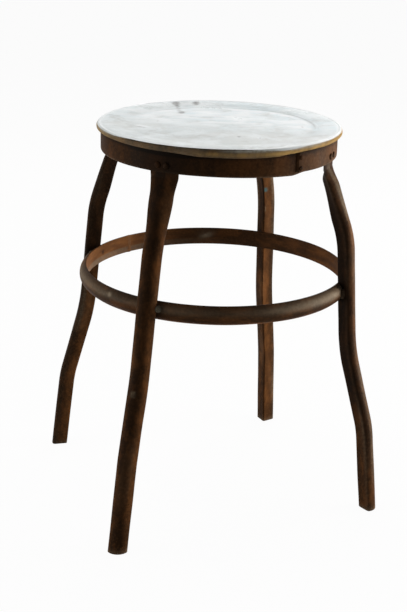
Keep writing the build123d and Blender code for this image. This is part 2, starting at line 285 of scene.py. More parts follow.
def wornPaint(name, look):
    # pale worn skin of the seat: cool and warm clouds, fine specks, faint scratches, rust where painted; over
    # it painted glare, painted highlights, a painted back sheen and painted shade
    material, tree, shader, where = startMaterial(name)
    cloud = noise(tree, where, look["cloud"], detail=5, rough=0.55, twist=0.2)
    stain = noise(tree, where, look["stain"], detail=6, rough=0.62, twist=0.3)
    fine = noise(tree, where, look["fine"], detail=3, rough=0.6)
    blotch = noise(tree, where, look["blotch"], detail=7, rough=0.66, twist=0.2)
    scratch = noise(tree, spread(tree, where, look["scratchStretch"]), look["scratch"], detail=3, rough=0.5)
    brushed = spread(tree, where, look["glareStretch"], look["glareTurn"])
    streak = noise(tree, brushed, look["glare"], detail=6, rough=0.6, twist=0.3)
    # the cool colour comes from random clouds and from a painted sheen towards the back
    mixed = combine(tree, "ADD", ramp(tree, cloud, *look["coolCloud"]), painted(tree, "backSheen"))
    colour = blendColour(tree, ramp(tree, mixed, 0, 1), look["warm"], look["coolAndSheen"])
    noises = dict(blotch=blotch, stain=stain, scratch=scratch, fine=fine)
    colour = layColours(tree, colour, noises, paintLayers, look)
    sheen = brokenPaint(tree, "glare", streak, look["glareBreak"], 0.0)
    # painted highlights and painted glare
    light = combine(tree, "MAXIMUM", painted(tree, "highlight"), sheen)
    colour = blendColour(tree, light, colour, look["highlight"])
    bare = blendColour(tree, painted(tree, "gold"), look["edge"], look["ochre"])
    bare = blendColour(tree, ramp(tree, stain, *look["rustStain"]), bare, look["rust"])
    edge = brokenPaint(tree, "edge", fine, look["edgeBreak"], look["evenEdge"])
    colour = blendColour(tree, edge, colour, bare)
    # dark spots and marks, with painted shade lines and darkening
    spotAndShade = brokenPaint(tree, "spotAndShade", fine, look["spotAndShadeBreak"], look["evenSpotAndShade"])
    colour = blendColour(tree, spotAndShade, colour, look["spotAndShade"])
    tree.links.new(colour, shader.inputs["Base Color"])
    dull = combine(tree, "MULTIPLY", edge, look["edgeDull"])
    gloss = combine(tree, "ADD", ramp(tree, cloud, *look["glossCloud"], *look["gloss"]), dull)
    tree.links.new(gloss, shader.inputs["Roughness"])
    shader.inputs["Specular IOR Level"].default_value = look["shine"]
    height = combine(tree, "ADD", cloud, combine(tree, "MULTIPLY", fine, look["fineRelief"]))
    relief(tree, shader, height, look["pit"])
    return material


seatLook = dict(
    cloud=11, stain=34, blotch=24, fine=420, scratch=16, scratchStretch=(1, 14, 1),
    glare=40, glareStretch=(0.45, 1, 1), glareTurn=viewSide + 90, glareBreak=(0.43, 0.56),
    rubbedShare=0.7, grimeShare=0.7, markShare=0.16, speckShare=0.5, coolCloud=(0.36, 0.64, -0.4, 0.4),
    rustStain=(0.42, 0.66), edgeBreak=(0.25, 0.5), evenEdge=0.72, spotAndShadeBreak=(0.2, 0.5), evenSpotAndShade=0.6,
    glossCloud=(0.3, 0.7), gloss=(0.26, 0.4), edgeDull=0.15, shine=0.4, pit=0.5, fineRelief=0.25,
    # cool is also the painted back sheen's colour, bright that of the painted highlights and glare, spot that
    # of dark marks and painted shade
    warm=(0.59, 0.61, 0.585), coolAndSheen=(0.69, 0.78, 0.805), rubbed=(0.81, 0.855, 0.86),
    grime=(0.40, 0.395, 0.36), mark=(0.42, 0.42, 0.40), speck=(0.36, 0.33, 0.29),
    highlight=(0.87, 0.89, 0.89), edge=(0.055, 0.041, 0.028), ochre=(0.34, 0.195, 0.06),
    rust=(0.11, 0.062, 0.031), spotAndShade=(0.07, 0.062, 0.055))
seatPaint = wornPaint("seatPaint", seatLook)
print("stage 2: materials made")


# Seat pan: one profile turned about the seat's axis, top skin, rolled edge and underside
seatSize = dict(
    top=554.0, radius=175.0, sheet=1.2, bead=5.0, panel=140.5, sink=2.4, slope=26.0,
    groove=0.35, grooveIn=1.5, grooveWide=2.2,
    wave=0.28, waveDown=2.0, waveZone=(166.0, 150.0), longWave=38.0, shortWave=10.0, shortShare=0.8,
    beadWaves=3.0, longSeed=4, shortSeed=17, beadSeed=9,
    turns=288, rows=(70, 47, 18), fineIn=25.0, fineOut=14.0, rowGap=1.0, beadTurns=(84, -206), beadRows=40)
edgeHang = (  # turn from the photograph's side, how much lower the rolled edge hangs there
    (-180, 0.2), (-90, -0.6), (-56, -1.5), (-38, -0.9), (-22, -0.7), (-6, 1.9), (18, 2.7), (27, 2.1),
    (34, 0.2), (44, -1.2), (75, -1.2), (130, 0.2), (180, 0.2))


def seatProfile(s):
    # radius and height of each row: level panel, eased step, level rim, groove, rolled edge, underside
    # the third value says where a row lies: 0 top, 1 rolled edge, 2 underside
    rim = s["radius"] - s["bead"]
    fineStart, fineEnd = s["panel"] - s["fineIn"], s["panel"] + s["fineOut"]
    stretches = ((0, fineStart - s["rowGap"]), (fineStart, fineEnd), (fineEnd + s["rowGap"], rim))
    r = np.concatenate([np.linspace(*ends, rows) for ends, rows in zip(stretches, s["rows"])])
    z = s["top"] - s["sink"] * eased(r, s["panel"] + s["slope"] / 2, s["panel"] - s["slope"] / 2)
    z -= s["groove"] * bump(r, rim - s["grooveIn"], s["grooveWide"])
    turn = np.radians(np.linspace(*s["beadTurns"], s["beadRows"]))
    beadR = rim + s["bead"] * np.cos(turn)
    beadZ = s["top"] - s["bead"] + s["bead"] * np.sin(turn)
    inwards = slice(-5, None, -2)  # the underside starts clear of the rolled edge and takes every second row
    underR, underZ = r[inwards], z[inwards] - s["sheet"]
    part = np.repeat([0, 1, 2], [len(r), len(turn), len(underR)])
    return np.concatenate([r, beadR, underR]), np.concatenate([z, beadZ, underZ]), part


seatMarks = [  # radius, azimuth, width, depth of dent, darkness
    (156, 94.6, 6.0, 0.5, 1.2), (101, 103.2, 5.0, 0.3, 1.1), (153, 83.0, 5.4, 0.5, 1.1),
    (81, -91.6, 2.4, 0.2, 0.75), (143, 96.0, 3.8, 0.4, 0.5), (130, 98.0, 3.8, 0.4, 0.5),
    (116, 100.6, 3.6, 0.3, 0.5), (126, 95.0, 9.0, 0.8, 0.0), (152, 89.0, 9.0, 0.6, 0.1),
    (118, -20.0, 2.0, 0.1, 0.4), (90, 150.0, 1.8, 0.1, 0.35)]
markLong = 2.0  # length of a mark over its width


def seatDents(away, across):
    # depth of the dents and darkness of the marks, drawn out away from the photograph's view
    dent, dark = np.zeros_like(away), np.zeros_like(away)
    for radius, azimuth, width, depth, strength in seatMarks:
        turn = np.radians(azimuth - viewSide - 180)
        far, off = away - radius * np.cos(turn), across + radius * np.sin(turn)
        gap = np.hypot(far / (markLong * width), off / width)
        dent += depth * bump(gap, 0, 1)
        dark += strength * plateau(gap, 0, 1)
    return dent, dark


creaseMark = dict(  # a painted highlight along a crease at the left and the painted shadow beside it
    across=-108.4, away=-22.6, lean=(0.826, 0.564), length=11.0, width=4.4,
    darkAlong=5.0, darkBeside=-8.0, darkLength=7.0, darkWidth=3.2, dark=0.5)


def seatCrease(away, across, s):
    # lean holds the cosine and sine of the crease's turn
    right, far = across - s["across"], away - s["away"]
    along = right * s["lean"][0] - far * s["lean"][1]
    beside = right * s["lean"][1] + far * s["lean"][0]
    highlight = plateau(along, 0, s["length"]) * bump(beside, 0, s["width"])
    dark = plateau(along, s["darkAlong"], s["darkLength"]) * bump(beside, s["darkBeside"], s["darkWidth"])
    return highlight, s["dark"] * dark


topWear = dict(  # pairs: between which places, away, across or out from the line, a value sets in
    # painted shade line along the panel's step, darker towards the right front, painted glare at the back and
    # right, a painted cool sheen towards the back and a painted highlight along the rim
    backSheen=(-80, 70), backSheenSkew=0.2, rim=169.0, rimWidth=1.8, rimBright=0.9,
    line=128.5, lineOut=7.5, lineOutAcross=(20, 100), lineWidth=1.9, lineDark=0.45, lineAway=(30, 80),
    lineSkew=0.4, dull=0.09, dullAcross=(30, 90), dullAway=(-15, -55),
    glare=0.9, glareAway=(-45, 35), glareSkew=0.15, glareLine=(0, -8),
    sideGlare=0.35, sideAcross=(60, 120), sideAway=(-20, 30),
    backGlare=0.75, backAway=(10, 70), backAcross=(20, -40), backLine=(-12, -4))


def topPaint(R, away, across, w):
    # painted values of the top skin: a painted shade line round the panel, darker towards the right front,
    # streaked painted glare at the back, a painted cool sheen towards the back and a painted highlight along
    # the rim
    line = w["line"] + w["lineOut"] * eased(across, *w["lineOutAcross"])
    lineZone = eased(away + w["lineSkew"] * across, *w["lineAway"])
    spotAndShade = w["lineDark"] * bump(R, line, w["lineWidth"]) * lineZone
    spotAndShade += w["dull"] * eased(across, *w["dullAcross"]) * eased(away, *w["dullAway"])
    glareZone = eased(away + w["glareSkew"] * across, *w["glareAway"])
    glare = w["glare"] * glareZone * eased(R - line, *w["glareLine"])
    glare += w["sideGlare"] * eased(across, *w["sideAcross"]) * eased(away, *w["sideAway"])
    backZone = eased(away, *w["backAway"]) * eased(across, *w["backAcross"])
    glare += w["backGlare"] * backZone * eased(R - line, *w["backLine"])
    backSheen = eased(away + w["backSheenSkew"] * across, *w["backSheen"])
    return dict(spotAndShade=spotAndShade, glare=glare, backSheen=backSheen, highlight=w["rimBright"] * bump(R, w["rim"], w["rimWidth"]))


edgeZones = dict(  # turns from the photograph's side between which a zone sets in, and some fade again
    left=[(-45, -70)], right=[(12, 47)],
    leftGold=[(-45, -70), (-150, -90)], rightGold=[(12, 47), (150, 90)],
    olive=[(-3, 15), (62, 37)], lowGold=[(-16, 2), (44, 30)],
    leftEdge=[(-40, -55)], rightEdge=[(5, 30)], rightBack=[(32, 46)])
edgeWear = dict(  # tilts in degrees above the bead's middle; pairs are the tilt and width of a line
    # the bright line is a painted highlight along the bead's top; olive and left wear are wear with painted
    # highlight on its upper half; shade is a painted shade line under the pale edge, and the underside is
    # painted into shade
    start=80, startLeft=30, startRight=50, startBack=0.6, soft=10, softLeft=4, softRight=20,
    highlight=84, brightRight=24, brightWidth=12, brightWidthRight=14,
    leftGold=0.7, orange=0.95, lowGold=0.6, lowGoldLine=(-12, 30), olive=1.5, leftWearAndHighlight=0.75,
    wearAndHighlightLine=(42, 26), shade=0.75, shadeLine=(64, 15), underShade=0.5, bareFrom=0.9)


def edgePaint(turn, tilt, bead, under, w):
    # painted values of the rolled edge: where the pale skin ends, and the look of the bare metal below that,
    # with a painted highlight along its top, wear with painted highlight on its upper half, and painted shade
    # under the pale edge and on the underside
    zone = {}
    for name, stretches in edgeZones.items():
        zone[name] = np.prod([eased(turn, *ends) for ends in stretches], axis=0)
    left, right = zone["left"], zone["right"]
    rightEdge = zone["rightEdge"] * (1 - w["startBack"] * zone["rightBack"])
    start = w["start"] - w["startLeft"] * zone["leftEdge"] - w["startRight"] * rightEdge
    soft = w["soft"] + w["softLeft"] * left + w["softRight"] * right
    brightTilt = w["highlight"] - w["brightRight"] * right
    brightWidth = w["brightWidth"] + w["brightWidthRight"] * right
    gold = zone["rightGold"] + w["leftGold"] * zone["leftGold"]
    lowGold = w["lowGold"] * zone["lowGold"] * bump(tilt, *w["lowGoldLine"]) * bead
    wearAndHighlight = w["olive"] * zone["olive"] + w["leftWearAndHighlight"] * left
    shade = w["shade"] * (1 - left) * (1 - right) * bump(tilt, *w["shadeLine"])
    return dict(
        edge=np.where(bead, eased(tilt, start, start - soft), under), gold=gold,
        highlight=bump(tilt, brightTilt, brightWidth) * bead, orange=np.clip(w["orange"] * gold + lowGold, 0, 1),
        wearAndHighlight=wearAndHighlight * bump(tilt, *w["wearAndHighlightLine"]) * bead, shade=np.where(bead, shade, w["underShade"] * under))


def seatPan(s):
    r, z, part = seatProfile(s)
    R, A = np.meshgrid(r, np.arange(s["turns"]) * 360 / s["turns"], indexing="ij")
    top, bead, under = (np.broadcast_to((part == k)[:, None], R.shape) for k in (0, 1, 2))
    a = np.radians(A)
    x, y = R * np.cos(a), R * np.sin(a)
    # away from the photograph's view and to its right
    ahead = np.radians(viewSide + 180)
    away, across = x * np.cos(ahead) + y * np.sin(ahead), x * np.sin(ahead) - y * np.cos(ahead)
    dent, dark = seatDents(away, across)
    crease, creaseDark = seatCrease(away, across, creaseMark)
    wave = ripple(x / s["longWave"], y / s["longWave"], s["longSeed"]) - s["waveDown"]
    short = ripple(x / s["shortWave"], y / s["shortWave"], s["shortSeed"])
    wave = wave + s["shortShare"] * short * (R < s["panel"])
    Z = z[:, None] + (s["wave"] * wave * eased(R, *s["waveZone"]) - dent) * ~bead
    beadWave = ripple(s["beadWaves"] * np.cos(a), s["beadWaves"] * np.sin(a), s["beadSeed"]) - 1
    R = R + s["wave"] * beadWave * bead
    lift = Z - (s["top"] - s["bead"])
    tilt = np.degrees(np.arctan2(lift, R - (s["radius"] - s["bead"])))
    turn = angleGap(A, viewSide)
    hang = easedPath(turn, edgeHang) * np.minimum(lift, 0) / s["bead"] * bead
    skin = topPaint(R, away, across, topWear)
    paint = edgePaint(turn, tilt, bead, under, edgeWear)
    # painted highlights, glare and back sheen on the top skin; dark marks and painted shade in one value
    paint["highlight"] = np.clip(paint["highlight"] + (skin["highlight"] + crease) * top, 0, 1)
    paint["spotAndShade"] = np.clip(dark * ~under + (skin["spotAndShade"] + creaseDark) * top, 0, 1)
    paint["glare"] = np.clip(skin["glare"] * top, 0, 1)
    paint["backSheen"] = skin["backSheen"]
    second = (paint["edge"][1:] > edgeWear["bareFrom"]) & ~top[1:]
    return dict(points=placed(R, 0, Z + hang, A), closeColumns=True, paint=paint, second=second)


makePiece("seatPan", [seatPan(seatSize)], seatPaint, ["seat_pan"], 60, edgeSteel)
print("stage 3: seat pan made")


# Apron: a strip section carried round the seat's axis, stepped out where its end laps over
bandSize = dict(
    outside=169.0, sheet=3.0, top=543.95, tall=28.5, edge=2.4, corner=0.5,
    lap=-73.0, lapLong=30.0, joggle=40.0, lapGap=0.05, rise=1.1, riseTall=8.0, thin=0.6, feather=1.0,
    hang=2.9, hangFrom=-121.0, hangLong=46.0, hangEnd=8.0, hangCurve=1.5,
    wave=0.22, waveLong=45.0, waveTall=9.0, waveSeed=21, skin=1.0,
    turns=420, sideRows=9, lowRows=3, topRows=5)
bandWear = dict(  # lines: height and width; places: azimuth and width; right: turns from the view's side
    # top, left, middle and lap shade are painted shade: under the rolled edge, on front faces turned from the
    # light and beside the lap's step; the right side is painted lighter: painted light
    edgeWorn=0.3, edgeLine=(1.2, 1.3), right=(8, 68), rightHighlight=0.1, rightOrange=0.16, orangeLine=(14, 12),
    topShade=0.8, topFrom=7.0, topFull=1.0, leftShade=0.95, leftPlace=(-137, 24),
    middleShade=0.22, middlePlace=(-100, 24), lapShade=0.3, lapPlace=(-75.5, 2.2), lapZone=(8, 18))


def stripSection(s):
    # closed strip outline, x outwards from its inner face, y up from its lower edge, lower outer edge rounded
    e, c, t, h = s["edge"], s["corner"], s["sheet"], s["tall"]
    low = np.radians(np.linspace(-90, 0, s["sideRows"]))
    top = np.radians(np.linspace(0, 90, s["topRows"]))
    x = np.concatenate([
        np.zeros(s["sideRows"]), np.linspace(0.4 * c, t - e - 0.2 * c, s["lowRows"]), t - e + e * np.cos(low),
        np.full(s["sideRows"], t), t - c + c * np.cos(top), [c / 2]])
    y = np.concatenate([
        np.linspace(h - c / 2, c / 2, s["sideRows"]), np.zeros(s["lowRows"]), e + e * np.sin(low),
        np.linspace(e + 2 * c, h - 2 * c, s["sideRows"]), h - c + c * np.sin(top), [h]])
    return x[None], y[None]


def apronBand(s, w):
    x, y = stripSection(s)
    perMm = 180 / np.pi / s["outside"]
    along = np.linspace(0, 360 / perMm + s["lapLong"] - s["sheet"], s["turns"])[:, None]
    A = s["lap"] + along * perMm
    turn = angleGap(A, viewSide)
    skin = x > s["skin"]
    # the strip's start is stepped out over its end; beneath is true on its second half
    over = eased(along, s["lapLong"] + s["joggle"], s["lapLong"])
    beneath = along > 180 / perMm
    wave = s["wave"] * (ripple(along / s["waveLong"], y / s["waveTall"], s["waveSeed"]) - 1) * skin
    thin = 1 - s["thin"] * eased(along, s["feather"], 0)
    R = s["outside"] - s["sheet"] + x * thin + (s["sheet"] + s["lapGap"]) * over + wave
    lift = s["rise"] * over * eased(y, s["riseTall"], 0)
    # the lower edge hangs towards the lap, and the top follows the rolled edge where that is raised
    before = angleGap(A, s["hangFrom"])
    tail = beneath * np.clip(before / s["hangLong"], 0, 1) ** s["hangCurve"]
    hang = s["hang"] * tail * eased(before, s["hangLong"] + s["hangEnd"], s["hangLong"])
    close = np.clip(-easedPath(turn, edgeHang), 0, None)
    up = y / s["tall"]
    Z = s["top"] - s["tall"] + y + lift - hang * (1 - up) + close * up
    # painted light towards the right side; painted shade at the front-left, the front middle, under the
    # rolled edge and beside the lap
    right = eased(turn, *w["right"])
    shade = w["leftShade"] * around(A, *w["leftPlace"]) * skin
    shade = shade + w["middleShade"] * around(A, *w["middlePlace"]) * skin
    shade = shade + w["topShade"] * eased(y, s["tall"] - w["topFrom"], s["tall"] - w["topFull"])
    shade = shade + w["lapShade"] * around(A, *w["lapPlace"]) * eased(y, *w["lapZone"]) * beneath
    paint = dict(
        wearAndHighlight=w["edgeWorn"] * bump(y, *w["edgeLine"]) * skin + w["rightHighlight"] * right,
        orange=w["rightOrange"] * right * bump(y, *w["orangeLine"]), shade=shade)
    return dict(points=placed(R, 0, Z, A), closeColumns=True, caps=endCaps(*R.shape), paint=paint)


makePiece("apronBand", [apronBand(bandSize, bandWear)], bandSteel, ["apron_band"], 35)


# Foot ring: a half-oval bar carried round
ringSize = dict(
    inside=189.0, deep=10.5, edge=2.5, tall=26.6, height=330.7, joint=115.0,
    wave=0.3, waveDown=0.9, waveTurns=9.0, waveOut=9.0, waveTall=8.0, waveSeed=33, skin=1.0,
    turns=400, flatRows=26, landRows=6, crownRows=44)
ringZones = dict(  # azimuth and width of each zone
    left=(138, 46), right=(-12, 40), frontRight=(-62, 26), frontMiddle=(-106, 30), frontLeft=(-148, 14),
    dot=(134.9, 1.1), light=(-158.1, 0.9), scratch=(74, 3.2))
ringWear = dict(  # pairs are distances out from the inner face, or a height from the middle with a width
    # crown wear is a painted highlight along the upper crown, dimmed at the front middle and near the
    # front-left leg; left wear is wear with painted light on the inner face's lower band; inner, middle and
    # left shade are painted shade
    inner=(1.4, 0.6), upper=(-5.5, -2.5), crownLine=(5.5, 5.5), dotLine=(1.3, 3.5), lightLine=(6.3, 2.6),
    scratchLine=(2, 7), lowEdgeUp=1.0, lowEdgeWidth=1.4, lowEdgeOut=1.2,
    fleckTurns=20.0, fleckTall=3.0, fleckSeed=5, fleckGain=1.4,
    leftOrange=0.4, leftUpperOrange=0.25, lowEdgeOrange=0.8, rightOrange=0.5,
    leftWearAndHighlight=0.4, crownHighlight=0.5, middleDimmer=0.6, leftDimmer=0.55, crownEven=0.8,
    scratchWorn=0.7, scratchEven=0.3, innerShade=0.25, middleShade=0.06, leftShade=0.25)


def ringSection(s):
    # closed half-oval outline: flat inside, short lands, crowned outside, corners eased by a moving mean
    flat = np.linspace(-0.5, 0.5, s["flatRows"])
    land = np.linspace(0, 1, s["landRows"] + 2)[1:-1]
    half = s["tall"] / 2
    crown = s["deep"] - s["edge"]
    big = (half**2 + crown**2) / (2 * crown)
    swing = np.linspace(1, -1, s["crownRows"]) * np.arcsin(half / big)
    crownX = s["deep"] - big + big * np.cos(swing)
    x = np.concatenate([0 * flat, s["edge"] * land, crownX, s["edge"] * land[::-1]])
    y = np.concatenate([s["tall"] * flat, 0 * land + half, big * np.sin(swing), 0 * land - half])
    weights = np.array([1, 2, 3, 2, 1]) / 9
    return [sum(k * np.roll(line, i - 2) for i, k in enumerate(weights))[None] for line in (x, y)]


def footRing(s, w):
    x, y = ringSection(s)
    A = (np.arange(s["turns"]) * 360 / s["turns"])[:, None]
    c, d = np.cos(np.radians(A)), np.sin(np.radians(A))
    u, v = s["waveTurns"] * c + x / s["waveOut"], s["waveTurns"] * d + y / s["waveTall"]
    wave = ripple(u, v, s["waveSeed"])
    R = s["inside"] + x + s["wave"] * (wave - s["waveDown"]) * (x > s["skin"])
    zone = {name: around(A, *place) for name, place in ringZones.items()}
    left, middle, frontLeft = zone["left"], zone["frontMiddle"], zone["frontLeft"]
    inner = eased(x, *w["inner"])
    outer = 1 - inner
    upper = eased(y, *w["upper"])
    lowEdge = bump(y, w["lowEdgeUp"] - s["tall"] / 2, w["lowEdgeWidth"]) * (x > w["lowEdgeOut"])
    lumps = ripple(w["fleckTurns"] * c, w["fleckTurns"] * d + y / w["fleckTall"], w["fleckSeed"])
    fleck = eased(w["fleckGain"] * lumps, 0, 1)
    orange = inner * left * (w["leftOrange"] + w["leftUpperOrange"] * upper)
    orange = orange + w["lowEdgeOrange"] * lowEdge + w["rightOrange"] * inner * zone["right"]
    # painted highlight along the upper crown, strongest at the front right, dimmer at the front middle and
    # near the front-left leg
    crown = bump(y, *w["crownLine"]) * outer * (w["crownHighlight"] + (1 - w["crownHighlight"]) * zone["frontRight"])
    crown = crown * (1 - w["middleDimmer"] * middle) * (1 - w["leftDimmer"] * frontLeft)
    crown = crown * (w["crownEven"] + (1 - w["crownEven"]) * fleck)
    scratch = w["scratchWorn"] * zone["scratch"] * bump(y, *w["scratchLine"]) * inner
    scratch = scratch * (w["scratchEven"] + (1 - w["scratchEven"]) * fleck)
    light = zone["light"] * bump(y, *w["lightLine"]) * outer
    # wear, with painted light on the left inner face's lower band and the crown's painted highlight
    wearAndHighlight = w["leftWearAndHighlight"] * inner * left * (1 - upper) + crown + light + scratch
    # a real dark dot; the rest is painted shade on the inner face away from the left, at the front middle and
    # near the front-left leg
    shade = zone["dot"] * bump(y, *w["dotLine"]) * inner + w["innerShade"] * inner * (1 - left)
    shade = shade + (w["middleShade"] * middle + w["leftShade"] * frontLeft) * outer
    paint = dict(orange=np.clip(orange, 0, 1), wearAndHighlight=np.clip(wearAndHighlight, 0, 1), shade=np.clip(shade, 0, 1))
    return dict(points=placed(R, 0, s["height"] + y, A), closeRows=True, closeColumns=True, paint=paint)


makePiece("footRing", [footRing(ringSize, ringWear)], ringSteel, ["foot_ring"], 50)
print("stage 4: apron and ring made")


# Legs: a folded outline carried down a bent line, in level slices
legSize = dict(
    sheet=1.6, tabThin=0.3, seam=0.8, tabTop=540.5, tabFoot=507.95, swellTop=514.5, tabReach=163.9,
    kneeDrop=144.0, shinDrop=84.0, calf=126.0, ringReach=205.9, crimp=0.85, swell=0.30, ridgeSooner=0.85,
    bends=(150.0, 280.0, 190.0), shiftTop=450.0,
    knock=0.22, knockTall=17.0, knockRound=9.0, knockGrow=3.0, core=-2.0,
    slices=230, tabSlices=14, tabGap=0.5, columns=96, lipColumns=14, lipShare=0.06, arcRows=121, flatRows=90,
    evenRows=720, seed=60)
legOutlines = dict(
    tab=dict(halfWidth=22.4, back=2.05, ridge=2.0, blur=1.2),
    swell=dict(halfWidth=18.7, back=9.0, ridge=13.5, blur=2.4),
    full=dict(halfWidth=14.8, back=9.6, ridge=17.0, blur=2.2))
legBends = dict(  # turn of the section, lean at the ring, reach of calf and foot, top and foot set over
    front_left=dict(azimuth=-137.3, turn=27.0, lean=9.3, calf=252.8, foot=277.3, overTop=1.8, overFoot=0.0),
    front_right=dict(azimuth=-42.4, turn=10.0, lean=4.4, calf=246.2, foot=259.6, overTop=0.0, overFoot=0.0),
    back_right=dict(azimuth=46.1, turn=10.0, lean=1.0, calf=230.0, foot=238.0, overTop=1.7, overFoot=-2.6),
    back_left=dict(azimuth=137.1, turn=-3.0, lean=5.6, calf=250.0, foot=265.8, overTop=0.0, overFoot=0.0))
legWear = dict(  # places and widths round the outline are shares of its length from lip to lip
    lipWidth=0.035, lipOrange=0.12, corners=(0.29, 0.71), cornerWidth=0.035, cornerWorn=0.5, cornerEven=0.3,
    footWorn=0.45, footTall=5.0, scuffTall=30.0, scuffRound=12.0, scuffGain=1.6, scuffZone=(0.3, 1.3),
    # innerShade is painted shade inside the fold, topShade painted shade under the seat
    scuffSeed=50, scuffWorn=0.1, scuffOrange=0.16, innerShade=0.85, topShade=0.35, topZone=(470, 530),
    markCore=0.6)
legMarks = dict(  # kind, place round the outline, its width, middle height, half height, strength
    # shade marks are painted shade on faces turned from the light, under the seat and along the seam; the
    # worn marks on front_right and the narrow one at 0.7 on front_left are painted highlights on lit strips
    front_left=[
        ("orange", 0.38, 0.06, 260, 300, 0.2), ("wearAndHighlight", 0.7, 0.022, 300, 280, 0.35),
        ("wearAndHighlight", 0.56, 0.04, 221, 5, 0.75), ("shade", 0.545, 0.08, 290, 330, 0.6),
        ("shade", 0.5, 0.25, 470, 70, 0.3)],
    front_right=[
        ("wearAndHighlight", 0.54, 0.055, 478, 45, 0.75), ("wearAndHighlight", 0.55, 0.05, 150, 130, 0.35),
        ("shade", 0.69, 0.06, 512, 14, 0.9), ("wearAndHighlight", 0.545, 0.04, 370, 110, 0.25),
        ("shade", 0.655, 0.06, 270, 240, 0.6), ("shade", 0.87, 0.18, 360, 260, 1.0),
        ("orange", 0.5, 0.1, 330, 150, 0.15)],
    back_right=[
        ("orange", 0.86, 0.1, 250, 330, 0.34), ("wearAndHighlight", 0.92, 0.03, 382, 5, 0.7),
        ("fleck", 0.896, 0.065, 414, 4, 0.9), ("shade", 1.0, 0.025, 230, 300, 0.8),
        ("shade", 0.03, 0.05, 440, 70, 0.6), ("shade", 0.15, 0.17, 400, 170, 0.5)],
    back_left=[
        ("orange", 0.1, 0.11, 150, 190, 0.24), ("shade", 0.2, 0.3, 430, 130, 0.85),
        ("shade", 0.38, 0.14, 150, 230, 0.8), ("shade", 0.12, 0.14, 150, 230, 0.15)])


def legOutline(s, halfWidth, back, ridge, blur):
    # open loop from one lip of the seam round the back to the other: two flats and an arc, corners eased
    big = (halfWidth**2 + back**2) / (2 * back)
    half = np.arcsin(halfWidth / big)
    swing = np.linspace(half, -half, s["arcRows"])
    arc = np.stack([big * np.sin(swing), back - big + big * np.cos(swing)], -1)
    flat = np.linspace(0, 1, s["flatRows"])[:, None]
    tip = np.array([[0.0, -ridge]])
    loop = np.concatenate([tip + (arc[:1] - tip) * flat, arc[1:-1], arc[-1:] + (tip - arc[-1:]) * flat[:-1]])
    step = np.linalg.norm(np.roll(loop, -1, 0) - loop, axis=1)
    far = np.concatenate([[0], np.cumsum(step)])
    # even steps round the loop, eased by a bell-shaped mean
    count = s["evenRows"]
    even = np.linspace(0, far[-1], count, endpoint=False)
    closed = np.concatenate([loop, loop[:1]])
    ring = np.stack([np.interp(even, far, closed[:, k]) for k in (0, 1)], -1)
    pace = np.minimum(np.arange(count), count - np.arange(count)) * far[-1] / count
    soft = np.exp(-0.5 * (pace / blur) ** 2)
    ring = np.fft.ifft(np.fft.fft(ring, axis=0) * np.fft.fft(soft / soft.sum())[:, None], axis=0).real
    # columns closer together at the lips
    lip, near, rows = s["seam"] / 2 / far[-1], s["lipShare"], s["lipColumns"]
    pick = np.concatenate([
        np.linspace(lip, near, rows)[:-1], np.linspace(near, 1 - near, s["columns"] - 2 * (rows - 1)),
        np.linspace(1 - near, 1 - lip, rows)[1:]]) * count
    wrapped = np.concatenate([ring, ring[:1]])
    return np.stack([np.interp(pick, np.arange(count + 1), wrapped[:, k]) for k in (0, 1)], -1)


def bentLine(s, bend):
    # radius of the leg's middle over the height: straight runs with each corner replaced by a parabola
    ringZ = ringSize["height"]
    kneeZ, shinZ = seatSize["top"] - s["kneeDrop"], ringZ - s["shinDrop"]
    slope = np.tan(np.radians(bend["lean"]))
    kneeR = s["ringReach"] - slope * (kneeZ - ringZ)
    shinR = s["ringReach"] + slope * (ringZ - shinZ)
    z = np.array([s["tabFoot"], kneeZ, shinZ, s["calf"], 0.0])
    r = np.array([s["tabReach"], kneeR, shinR, bend["calf"], bend["foot"]])
    tab = np.linspace(s["tabTop"], s["tabFoot"] + s["tabGap"], s["tabSlices"])
    height = np.concatenate([tab, np.linspace(s["tabFoot"], 0, s["slices"])])
    radius = np.interp(-height, -z, r)
    pitch = np.diff(r) / -np.diff(z)
    for i, big in enumerate(s["bends"]):
        reach = abs(big * np.tan((np.arctan(pitch[i + 1]) - np.arctan(pitch[i])) / 2))
        t = np.clip((z[i + 1] + reach - height) / (2 * reach), 0, 1)
        curve = r[i + 1] - pitch[i] * reach * (1 - t) ** 2 + pitch[i + 1] * reach * t**2
        radius = np.where(np.abs(height - z[i + 1]) < reach, curve, radius)
    share = np.clip((s["swellTop"] - height) / (s["swellTop"] - kneeZ), 0, 1)
    return height, radius, share


def legLoop(s, height, share, seed):
    # outline of each slice: tab to swell to full section, its skin knocked in, and the inner face back again
    tab, swell, full = (legOutline(s, **legOutlines[k]) for k in ("tab", "swell", "full"))
    first = eased(share, 0, s["swell"])
    second = eased(share, s["swell"], s["crimp"])
    sooner = eased(share, 0, s["ridgeSooner"] * s["swell"])  # the ridge side grows ahead of the back
    both = np.stack([first, sooner], -1)[:, None]
    outer = tab + (swell - tab) * np.where(swell[..., 1:] < 0, both, first[:, None, None])
    outer = outer + (full - outer) * second[:, None, None]
    along = np.gradient(outer, axis=1)
    normal = np.stack([-along[..., 1], along[..., 0]], -1)
    normal /= np.linalg.norm(normal, axis=-1, keepdims=True) + 1e-9
    inwards = np.array([0, s["core"]]) - outer
    normal *= np.sign(np.sum(normal * inwards, -1, keepdims=True).mean(axis=(0, 1)))
    columns = np.arange(outer.shape[1])[None]
    knocks = s["knock"] * (ripple(height[:, None] / s["knockTall"], columns / s["knockRound"], seed) - 1)
    knocks = knocks * np.clip(share * s["knockGrow"], 0, 1)[:, None]
    thick = s["sheet"] * (s["tabThin"] + (1 - s["tabThin"]) * first)
    skin = outer - normal * knocks[..., None]
    inner = outer + normal * thick[:, None, None]
    return np.concatenate([skin, inner[:, ::-1]], axis=1)


